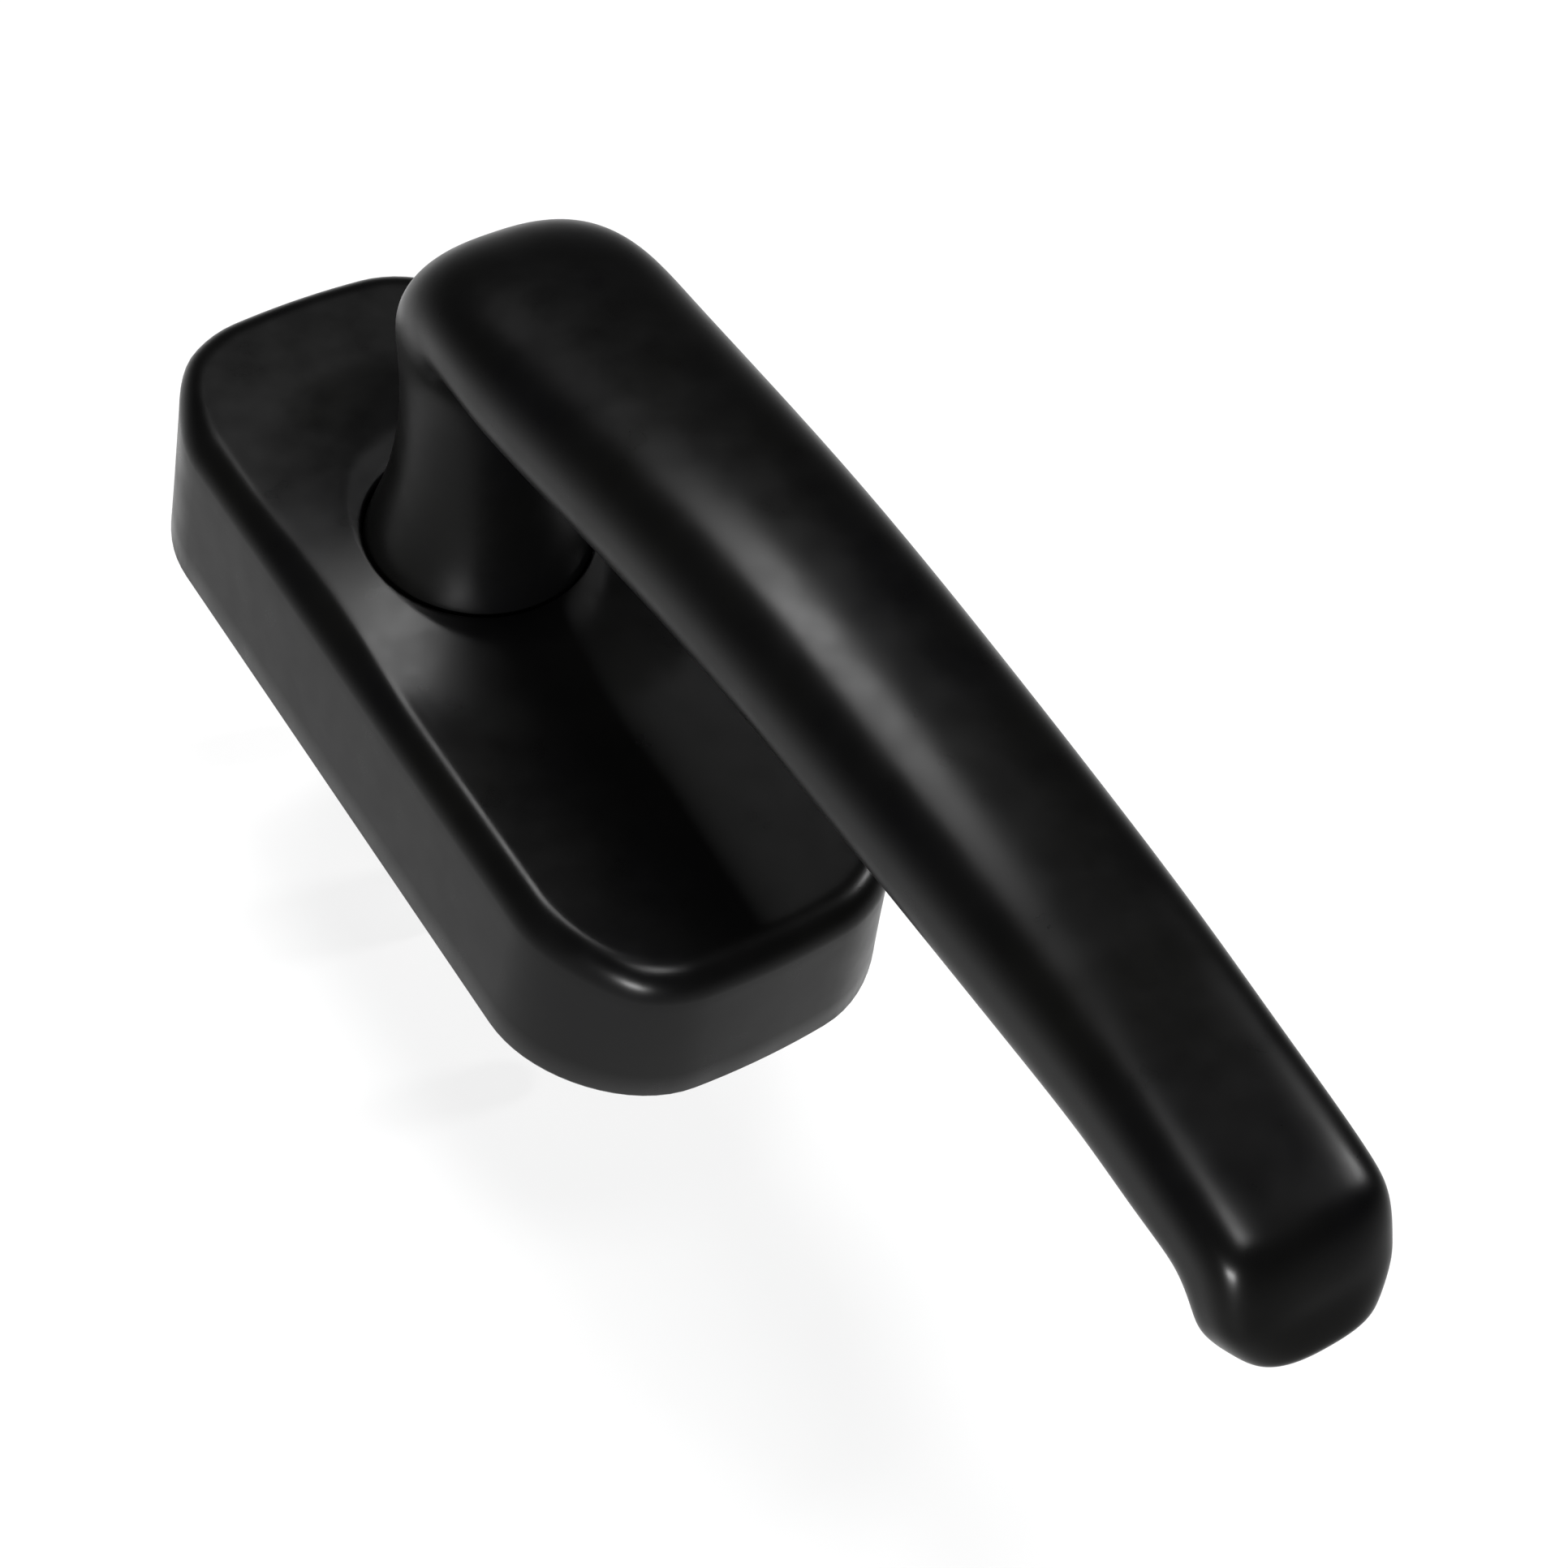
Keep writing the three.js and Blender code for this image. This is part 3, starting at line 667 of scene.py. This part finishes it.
def lever_ring(section, count=120):
    """Closed section between an upper and a lower profile point."""
    upper, lower = section[:2], section[2:4]
    half_width, upper_square, lower_square = section[4:]
    middle = (upper + lower) / 2
    ring = []
    for i in range(count):
        angle = TAU * i / count
        power = 2 / (upper_square if math.sin(angle) >= 0 else lower_square)
        forward, height = middle + (upper - lower) / 2 * signed_power(math.sin(angle), power)
        ring.append((half_width * signed_power(math.cos(angle), power), -forward, height))
    return ring


def make_lever(material, count=420):
    """Sections along a smooth path through the stations, closer where the stations are."""
    stations = np.array(LEVER_STATIONS, float)
    middles = (stations[:, :2] + stations[:, 2:4]) / 2
    steps = np.linalg.norm(np.diff(middles, axis=0), axis=1)
    steps += 0.5 * np.linalg.norm(np.diff(stations[:, :2], axis=0), axis=1)
    knots = np.concatenate([[0], np.cumsum(np.sqrt(steps))])
    sections = natural_spline(knots, stations, np.linspace(0, knots[-1], count))
    half = SPINDLE_SIDE / 2 + RUN_GAP
    socket = block((-half, -half, FOOT_BOTTOM - 1), (half, half, SPINDLE_TOP + GAP))
    made = carved(shape(*skin([lever_ring(section) for section in sections])), [socket])
    piece("lever_casting", *made, material, "lever", "lever", "black_coat", 60)


# ------------------------------------------------------------------ drive train


def make_journal(material):
    """Squared below for the disc, round where it runs in the bush, relieved under the lever's foot."""
    chamfer, relief = 0.3, 0.25
    below = ((JOURNAL_RADIUS - chamfer, JOURNAL_END), (JOURNAL_RADIUS, JOURNAL_END + chamfer),
             (JOURNAL_RADIUS, RECESS_DEPTH - 0.1))
    rings = [squared(circle(r, z), DRIVE_ACROSS) for r, z in below]
    rings += [circle(JOURNAL_RADIUS, z) for z in (RECESS_DEPTH, 6, 7, 11, 12, FOOT_BOTTOM - 0.4)]
    rings += [circle(JOURNAL_RADIUS - relief, FOOT_BOTTOM + rise) for rise in (-0.15, 0.05)]
    half = SPINDLE_SIDE / 2 + RUN_GAP
    socket = block((-half, -half, -1), (half, half, FOOT_BOTTOM + 2))
    hole = crossbar(PIN_RADIUS + RUN_GAP, JOURNAL_RADIUS + 1, PIN_HEIGHT)
    made = carved(shape(*skin(rings)), [socket, hole], edge=0.15, edge_angle=40)
    piece("lever_journal", *made, material, "lever", "lever", "zinc_casting", flats=True)


def bar_ring(side, z, corner=SPINDLE_CORNER, steps=6):
    """A square with rounded corners round the axis."""
    reach = side / 2 - corner
    ring = []
    for quarter, (side_x, side_y) in enumerate(QUARTERS):
        for i in range(steps + 1):
            angle = (quarter + i / steps) * math.pi / 2
            x = side_x * reach + corner * math.cos(angle)
            y = side_y * reach + corner * math.sin(angle)
            ring.append((x, y, z))
    return ring


def make_spindle(material):
    """A drawn bar; ends holds how far its sides are drawn in at each distance from an end."""
    ends = ((SPINDLE_CHAMFER, 0), (SPINDLE_CHAMFER * 0.35, 0.5), (0.08, 0.85), (0, 1.2))
    levels = [(-SPINDLE_BEHIND + rise, inset) for inset, rise in ends]
    levels += [(z, 0) for z in np.linspace(-SPINDLE_BEHIND + 2, SPINDLE_TOP - 2, 24)]
    levels += [(SPINDLE_TOP - rise, inset) for inset, rise in reversed(ends)]
    bar = shape(*skin([bar_ring(SPINDLE_SIDE - 2 * inset, z) for z, inset in levels]))
    hole = crossbar(PIN_RADIUS + RUN_GAP, SPINDLE_SIDE, PIN_HEIGHT)
    made = carved(bar, [hole], edge=0.12, edge_angle=45)
    piece("square_spindle", *made, material, "lever", "spindle", "zinc_plated_steel", flats=True)


def make_spindle_pin(material):
    """Slotted spring pin: rolled strip with an open seam and bevelled ends."""

    def arc(x, radius, angles):
        return [(x, radius * math.sin(a), PIN_HEIGHT + radius * math.cos(a)) for a in angles]

    outer_seam, inner_seam = 0.25, 0.36
    outside = np.linspace(outer_seam, TAU - outer_seam, 49)
    inside = np.linspace(TAU - inner_seam, inner_seam, 41)
    bevel = ((0, 0.22), (0.35, 0.06), (0.6, 0))
    levels = [(back - PIN_HALF_LENGTH, drop) for back, drop in bevel]
    levels += [(PIN_HALF_LENGTH - back, drop) for back, drop in reversed(bevel)]
    rings = []
    for x, drop in levels:
        rings.append(arc(x, PIN_RADIUS - drop, outside) + arc(x, PIN_RADIUS - PIN_WALL, inside))
    piece("slotted_spring_pin", *skin(rings), material, "lever", "spindle_pin", "spring_steel")


def ball_places():
    """The name and place of each detent ball."""
    places = {"top": 90, "left": 180, "bottom": 270, "right": 0}
    for side, degrees in places.items():
        angle = math.radians(degrees)
        yield side, BALL_CIRCLE * math.cos(angle), BALL_CIRCLE * math.sin(angle)


def sphere(radius, x, y, z, steps=40, count=64):
    """Points and faces of a ball."""
    pole = math.pi / 2 - 0.02
    angles = np.linspace(-pole, pole, steps)
    return skin([circle(radius * math.cos(a), z + radius * math.sin(a), count, x, y) for a in angles])


def keyed(profile, hole, across, edge, count=128):
    """A turned ring whose hole, of radius hole, is squared to the width across."""
    rings = []
    for radius, z in rounded(profile, edge):
        ring = circle(radius, z, count)
        rings.append(squared(ring, across + 2 * (radius - hole)) if radius < hole + 0.5 else ring)
    return skin(rings, closed=True)


def make_detent_disc(material):
    low, high = DISC
    hole = JOURNAL_RADIUS + 0.15
    profile = [(hole, low), (DISC_RADIUS, low), (DISC_RADIUS, high), (hole, high)]
    blank = shape(*keyed(profile, hole, DRIVE_ACROSS + 0.3, 0.25))
    centre = high - DIMPLE_DEPTH + DIMPLE_RADIUS
    cuts = [shape(*sphere(DIMPLE_RADIUS, x, y, centre, 30, 48)) for _, x, y in ball_places()]
    made = carved(blank, cuts, edge=0.08, edge_angle=45)
    piece("dimpled_disc", *made, material, "lever", "detent_disc", "zinc_plated_steel", 40, True)


def make_retaining_washer(material):
    low, high = WASHER
    hole = JOURNAL_RADIUS + 0.1
    profile = [(hole, low), (WASHER_RADIUS, low), (WASHER_RADIUS, high), (hole, high)]
    made = keyed(profile, hole, DRIVE_ACROSS + 0.2, 0.2)
    piece("pressed_washer", *made, material, "lever", "retaining_washer", "spring_steel", 50)


def make_wave_washer(material):
    """Waved halfway between the retaining washer and the detent disc."""
    middle = (WASHER[1] + DISC[0]) / 2
    low, high = middle - WAVE_THICKNESS / 2, middle + WAVE_THICKNESS / 2
    hole = JOURNAL_RADIUS + 0.5
    profile = [(hole, low), (WAVE_RADIUS, low), (WAVE_RADIUS, high), (hole, high)]
    points, faces = turned(profile, 0.08, 144)
    waved = [(x, y, z + WAVE_HEIGHT * math.cos(WAVES * math.atan2(y, x))) for x, y, z in points]
    piece("wavy_washer", waved, faces, material, "lever", "wave_washer", "spring_steel", 50)


# ------------------------------------------------------------------ detent


def make_balls(material):
    for side, x, y in ball_places():
        made = sphere(BALL_RADIUS, x, y, BALL_HEIGHT)
        body, node = f"ball_{side}", f"detent_ball_{side}"
        piece(f"ball_{side}_steel", *made, material, body, node, "ball_steel", 80)


def spring_path(share, x, y):
    """Centre line of a detent spring: closed end coils, open coils between them."""
    closed = SPRING_END_TURNS / SPRING_TURNS
    ends = SPRING_END_TURNS * SPRING_END_PITCH
    clear = SPRING_WIRE + 0.05
    low = BALL_HEIGHT + BALL_RADIUS + clear
    high = POCKET_TOP - clear
    z = np.interp(share, [0, closed, 1 - closed, 1], [low, low + ends, high - ends, high])
    angle = TAU * SPRING_TURNS * share
    return Vector((x + SPRING_RADIUS * math.cos(angle), y + SPRING_RADIUS * math.sin(angle), z))


def make_springs(material, steps=220, around=14):
    """Coil springs, one over each ball, from just above the ball to the pocket's top; they belong to no
    body.
    """
    step = 0.002
    for side, x, y in ball_places():
        rings = []
        for i in range(steps + 1):
            share = i / steps
            here = spring_path(share, x, y)
            ahead = spring_path(min(share + step, 1), x, y) - spring_path(max(share - step, 0), x, y)
            out = Vector((here.x - x, here.y - y, 0)).normalized()
            up = ahead.normalized().cross(out)
            rings.append([here + SPRING_WIRE * (math.cos(a) * out + math.sin(a) * up)
                          for a in np.arange(around) * TAU / around])
        made = piece(f"coil_{side}", *skin(rings), material, None, f"detent_spring_{side}",
                     "spring_steel", 60)
        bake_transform(made)


# ------------------------------------------------------------------ base plate and its fittings


def plate_blank():
    """The plate's outside, with a bevelled bottom and a rounded top edge."""

    def flat(inset, z):
        return [(x, y, z) for x, y in rosette_ring(inset, 12, 10, 6)]

    bevel = 0.3
    shoulder = PLATE_HEIGHT - PLATE_EDGE
    rings = [flat(PLATE_INSET + bevel, 0), flat(PLATE_INSET, bevel), flat(PLATE_INSET, shoulder)]
    for degrees in EDGE_DEGREES:
        turn = math.radians(degrees)
        inset = PLATE_INSET + PLATE_EDGE * (1 - math.cos(turn))
        rings.append(flat(inset, shoulder + PLATE_EDGE * math.sin(turn)))
    return shape(*skin(rings))


def make_base_plate(material):
    """The blank with its noses, screw holes, ball pockets, disc recess, bore, clip notches and cores."""
    joins, cuts = [], []
    for y in SCREW_PLACES:
        nose = [(NOSE_RADIUS - NOSE_BEVEL, -NOSE_LENGTH), (NOSE_RADIUS, NOSE_BEVEL - NOSE_LENGTH),
                (NOSE_RADIUS, 1)]
        joins.append(spun(nose, 64, 0, y))
        hole, seat = SCREW_THREAD + GAP, SCREW_HEAD + GAP
        sink = [(hole, -NOSE_LENGTH - 1), (hole, PLATE_HEIGHT - HEAD_CONE - SCREW_SUNK),
                (seat, PLATE_HEIGHT - SCREW_SUNK), (seat, PLATE_HEIGHT + 1)]
        cuts.append(spun(sink, 64, 0, y))
    for _, x, y in ball_places():
        cuts.append(spun([(POCKET_RADIUS, RECESS_DEPTH - 1), (POCKET_RADIUS, POCKET_TOP)], 48, x, y))
    cuts.append(spun([(RECESS_RADIUS, -1), (RECESS_RADIUS, RECESS_DEPTH)], 120))
    cuts.append(spun([(BUSH_RADIUS + 0.15, 1), (BUSH_RADIUS + 0.15, PLATE_HEIGHT + 1)], 96))
    notch = CLIP_LENGTH / 2 + 0.5
    for side in (-1, 1):
        flank = side * (COVER_HALF_WIDTH - PLATE_INSET)
        cuts.append(block((flank - CLIP_NOTCH, CLIP_Y - notch, CLIP_HEIGHTS[0] - GAP),
                          (flank + CLIP_NOTCH, CLIP_Y + notch, CLIP_HEIGHTS[1] + GAP)))
        core = side * CORE_PLACE
        cuts.append(block((core - CORE_HALF_WIDTH, CORE_ENDS[0], CORE_FLOOR),
                          (core + CORE_HALF_WIDTH, CORE_ENDS[1], PLATE_HEIGHT + 1)))
    made = carved(plate_blank(), cuts, joins, edge=0.3, edge_angle=35, segments=3)
    piece("die_cast_plate", *made, material, "base", "base_plate", "zinc_casting", 40, True)


def make_bearing(bush, thrust):
    """The bush in the plate's bore and the slip washer that lies on its flange."""
    bore = JOURNAL_RADIUS + RUN_GAP
    bottom = RECESS_DEPTH + RUN_GAP
    low, high = FLANGE
    profile = [(bore, bottom), (BUSH_RADIUS, bottom), (BUSH_RADIUS, low), (FLANGE_RADIUS, low),
               (FLANGE_RADIUS, high), (bore, high)]
    piece("flanged_bush", *turned(profile, 0.2), bush, "base", "guide_bush", "white_plastic", 50)
    low, high = THRUST
    profile = [(bore, low), (FLANGE_RADIUS, low), (FLANGE_RADIUS, high), (bore, high)]
    piece("slip_washer", *turned(profile, 0.12), thrust, "base", "thrust_washer", "black_plastic", 50)


def make_cover_ring(material):
    """Guide ring just under the cap's ceiling."""
    hole = COVER_HOLE + HOLE_EDGE
    high = COVER_HEIGHT - COVER_WALL - GAP
    low = high - RING_THICKNESS
    taper = high - RING_THICKNESS / 2
    profile = [(hole, low), (RING_RADIUS - 1, low), (RING_RADIUS, taper), (RING_RADIUS, high), (hole, high)]
    piece("neck_ring", *turned(profile, 0.15), material, "cover", "cover_ring", "black_plastic", 50)


def screw_shank(tip, end, y, count=48, per_turn=10):
    """A rolled thread that fades out at the tip and below end."""
    rings = [circle(SCREW_THREAD - 0.75, tip, count, 0, y)]
    stop = end - 1.2
    for z in np.arange(tip + 0.25, stop, THREAD_PITCH / per_turn):
        fade = smooth((z - tip) / 1.4) * smooth((stop - z) / 0.8)
        ring = []
        for i in range(count):
            turn = (z / THREAD_PITCH - i / count) % 1
            crest = min(max(1.5 - abs(turn - 0.5) * 4, 0), 1)
            radius = SCREW_THREAD - THREAD_DEPTH * (1 - crest * fade)
            angle = TAU * i / count
            ring.append((radius * math.cos(angle), y + radius * math.sin(angle), z))
        rings.append(ring)
    rings += [circle(SHANK_RADIUS, z, count, 0, y) for z in (end - 1, end + 0.1)]
    return skin(rings)


def cross_recess(top, y):
    """Two tapered slots, one across the other."""
    slots = []
    for turned_over in (False, True):
        rings = []
        for z, length, width in ((top - 2.1, 1.0, 0.5), (top - 1.4, 2.9, 0.72), (top + 0.5, 4.9, 0.9)):
            ring = [(side_x * length / 2, side_y * width / 2) for side_x, side_y in QUARTERS]
            rings.append([(b, y + a, z) if turned_over else (a, y + b, z) for a, b in ring])
        slots.append(shape(*skin(rings)))
    return slots


def make_screws(material):
    """Countersunk machine screws with a rolled thread and a cross recess."""
    top = PLATE_HEIGHT - 0.3
    end = top - HEAD_CONE - 0.6
    for name, y in zip(("top", "bottom"), SCREW_PLACES[::-1]):
        points, faces = screw_shank(top - SCREW_LENGTH, end, y)
        profile = [(SHANK_RADIUS, end), (SCREW_THREAD, end + 0.3), (SCREW_HEAD, top - 0.3),
                   (SCREW_HEAD, top - 0.08), (SCREW_HEAD - 0.12, top)]
        head = spun(profile, 96, 0, y)
        head_points, head_faces = carved(head, cross_recess(top, y), edge=0.08, edge_angle=30)
        start = len(points)
        points += head_points
        faces += [tuple(start + i for i in face) for face in head_faces]
        piece(f"countersunk_screw_{name}", points, faces, material, "base", f"screw_{name}",
              "screw_steel", 40, True)


def make_clips(material, steps=48):
    """Bowed leaves of spring steel with rounded edges, a little proud of the plate's sides."""
    low, high = CLIP_HEIGHTS
    flank = COVER_HALF_WIDTH - PLATE_INSET - CLIP_NOTCH + 0.25
    for name, side in (("left", -1), ("right", 1)):
        rings = []
        for i in range(steps + 1):
            share = 2 * i / steps - 1
            x = flank + CLIP_BOW * math.cos(share * math.pi / 2) ** 2
            y = CLIP_Y + share * CLIP_LENGTH / 2
            short = 0.5 * smooth((abs(share) - 0.85) / 0.15)
            section = [(0, low + short), (CLIP_THICKNESS, low + short),
                       (CLIP_THICKNESS, high - short), (0, high - short)]
            rings.append([(side * (x + a), y, z) for a, z in rounded(section, 0.12)])
        piece(f"leaf_clip_{name}", *skin(rings), material, "base", f"cover_clip_{name}", "spring_steel", 40)


# ------------------------------------------------------------------ stage


def make_stage():
    low = cad_low.z - FLOOR_DROP
    corners = [(side_x * FLOOR_HALF, side_y * FLOOR_HALF, low) for side_x, side_y in QUARTERS]
    mesh = bpy.data.meshes.new("floor")
    mesh.from_pydata(corners, [], [(0, 1, 2, 3)])
    mesh.materials.append(glowing_floor())
    placed("floor", mesh)


def direction(azimuth, elevation):
    """Unit vector towards a place round the object; azimuth 0 is -Y, 90 is +X."""
    a, e = math.radians(azimuth), math.radians(elevation)
    return Vector((math.sin(a) * math.cos(e), -math.cos(a) * math.cos(e), math.sin(e)))


def softbox(name, azimuth, elevation, distance, width, height, watts):
    """A rectangular light that faces LIGHT_TARGET."""
    lamp = bpy.data.lights.new(name, "AREA")
    lamp.shape = "RECTANGLE"
    lamp.size, lamp.size_y = width, height
    lamp.energy = watts
    made = placed(name, lamp)
    back = direction(azimuth, elevation)
    made.location = Vector(LIGHT_TARGET) + back * distance
    made.rotation_mode = "QUATERNION"
    made.rotation_quaternion = (-back).to_track_quat("-Z", "Y")


def make_world():
    """Grey at the horizon and below it, darker overhead."""
    world = bpy.data.worlds.new("studio")
    world.use_nodes = True
    tree = world.node_tree
    place = tree.nodes.new("ShaderNodeTexCoord")
    parts = tree.nodes.new("ShaderNodeSeparateXYZ")
    ramp = tree.nodes.new("ShaderNodeValToRGB")
    tree.links.new(place.outputs["Generated"], parts.inputs[0])
    tree.links.new(parts.outputs["Z"], ramp.inputs[0])
    tree.links.new(ramp.outputs[0], tree.nodes["Background"].inputs["Color"])
    for stop, position, grey in zip(ramp.color_ramp.elements, (0.0, 0.25), (HORIZON, OVERHEAD)):
        stop.position = position
        stop.color = (grey, grey, grey, 1)
    bpy.context.scene.world = world


def make_camera():
    back = direction(CAMERA_AZIMUTH, CAMERA_ELEVATION)
    camera = placed("camera", bpy.data.cameras.new("camera"))
    camera.data.sensor_width = 36
    camera.data.lens = CAMERA_LENS
    camera.data.clip_start = 0.01
    camera.location = Vector(CAMERA_TARGET) + back * CAMERA_DISTANCE
    right = Vector((-back.y, back.x, 0)).normalized()
    up = back.cross(right)
    roll = math.radians(CAMERA_ROLL)
    rolled_right = right * math.cos(roll) + up * math.sin(roll)
    axes = Matrix((rolled_right, back.cross(rolled_right), back)).transposed()
    camera.rotation_mode = "QUATERNION"
    camera.rotation_quaternion = axes.to_quaternion()
    bpy.context.scene.camera = camera


# ------------------------------------------------------------------ assembly

coat = black_coat()
zinc = zinc_casting()
black_plastic = moulded("black_plastic", (0.015, 0.015, 0.016), (0.03, 0.03, 0.031), 0.45, 0.6)
white_plastic = moulded("white_plastic", (0.64, 0.63, 0.58), (0.74, 0.73, 0.69), 0.38, 0.5)
plated = plated_steel("zinc_plated_steel", stretch=(1, 1, 30))
screw_plating = plated_steel("screw_steel")
springy = spring_steel()

make_cover(coat)
make_cover_ring(black_plastic)
make_lever(coat)
make_journal(machined_zinc())
make_spindle(plated)
make_spindle_pin(springy)
make_detent_disc(screw_plating)
make_retaining_washer(springy)
make_wave_washer(springy)
make_base_plate(zinc)
make_bearing(white_plastic, black_plastic)
make_screws(screw_plating)
make_clips(springy)
make_balls(ball_steel())
make_springs(springy)

make_stage()
make_world()
for name, settings in SOFTBOXES.items():
    softbox(name, *settings)
make_camera()
bpy.context.scene.view_settings.view_transform = "Standard"
